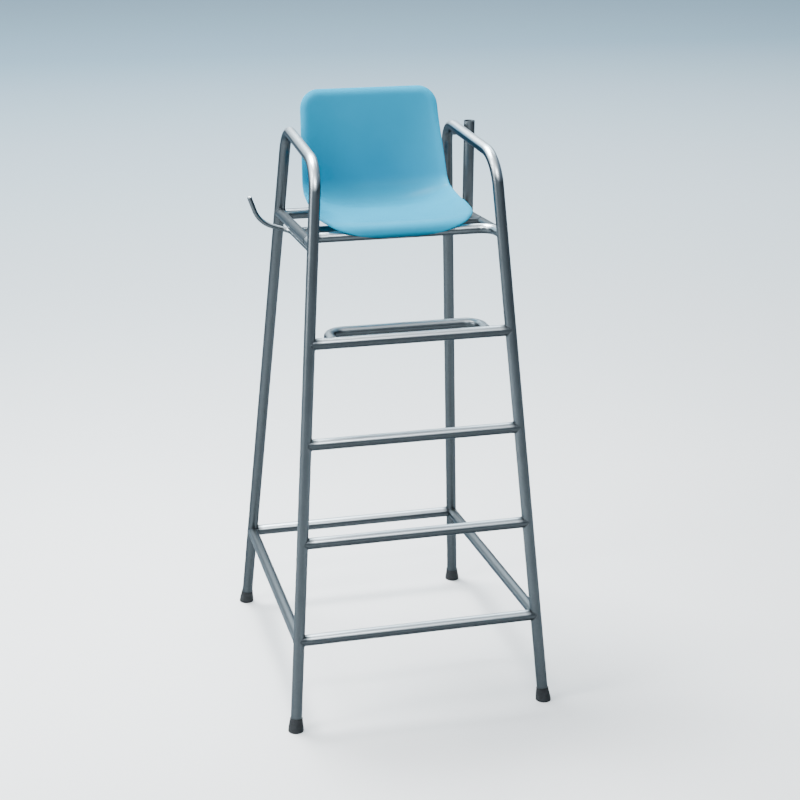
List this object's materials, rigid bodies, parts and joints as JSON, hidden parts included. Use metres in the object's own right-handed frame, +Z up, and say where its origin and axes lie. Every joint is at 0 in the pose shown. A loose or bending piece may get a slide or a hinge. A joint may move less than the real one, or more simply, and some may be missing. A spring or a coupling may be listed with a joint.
{
  "type": "lifeguard chair",
  "caption": "Tall poolside lifeguard chair: ladder-fronted tube frame with armrests, footrest, lifebuoy hook, parasol tube, rubber feet and a moulded bucket seat.",
  "frame": {"origin": "on the floor, in the middle of the four feet", "axes": "+Z up; the sitter faces -Y and climbs the ladder at the -Y side; +X is the sitter's left"},
  "size_m": [0.933, 1.0854, 2.0207],
  "materials": {
    "steel_tube": "satin stainless tube",
    "fixings": "plain stainless fixings",
    "rubber": "matt black",
    "seat_plastic": "light blue moulded plastic, soft sheen"
  },
  "bodies": {
    "root": {"left_side_frame": "steel_tube", "right_side_frame": "steel_tube", "left_base_bar": "steel_tube", "right_base_bar": "steel_tube", "rear_base_bar": "steel_tube", "rung_1": "steel_tube", "rung_2": "steel_tube", "rung_3": "steel_tube", "rung_4": "steel_tube", "footrest_bar": "steel_tube", "seat_front_rail": "steel_tube", "seat_left_rail": "steel_tube", "seat_right_rail": "steel_tube", "front_left_foot": "rubber", "front_right_foot": "rubber", "rear_left_foot": "rubber", "rear_right_foot": "rubber", "lifebuoy_hook": "steel_tube", "parasol_tube": "steel_tube", "parasol_tube_lug": "steel_tube", "parasol_tube_stop": "steel_tube", "seat_crossbar": "steel_tube", "seat_rear_rail": "steel_tube", "seat_left_bearer": "steel_tube", "front_left_washer": "fixings", "front_left_bolt": "fixings", "rear_left_washer": "fixings", "rear_left_bolt": "fixings", "seat_right_bearer": "steel_tube", "front_right_washer": "fixings", "front_right_bolt": "fixings", "rear_right_washer": "fixings", "rear_right_bolt": "fixings", "seat_shell": "seat_plastic"}
  },
  "joints": []
}
